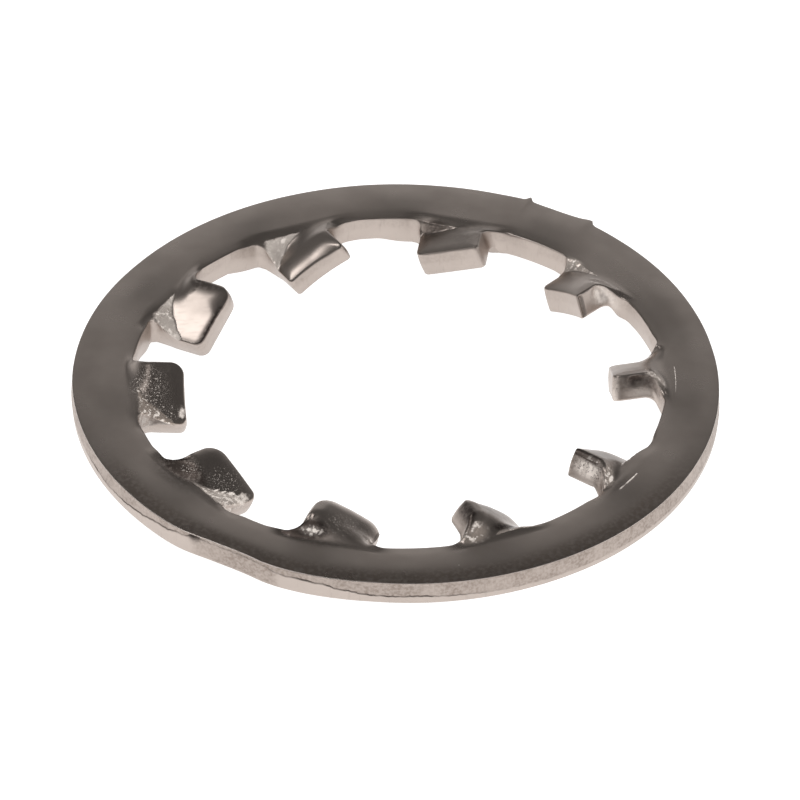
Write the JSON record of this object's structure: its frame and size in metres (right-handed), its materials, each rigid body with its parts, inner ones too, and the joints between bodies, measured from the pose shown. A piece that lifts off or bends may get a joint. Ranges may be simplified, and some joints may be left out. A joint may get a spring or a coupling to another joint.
{
  "type": "internal tooth lock washer",
  "caption": "Flat stainless ring with inward teeth, each twisted about its own length so that its edges bite the nut and the seat and keep a bolt from working loose.",
  "frame": {"origin": "centre of the bolt hole, half way through the sheet", "axes": "+Z along the bolt's axis, out of the face on the die side"},
  "size_m": [0.024, 0.024, 0.0024],
  "materials": {
    "stainless_steel": "dull tumbled faces, brighter sheared edges"
  },
  "bodies": {
    "root": {"lock_washer": "stainless_steel"}
  },
  "joints": []
}
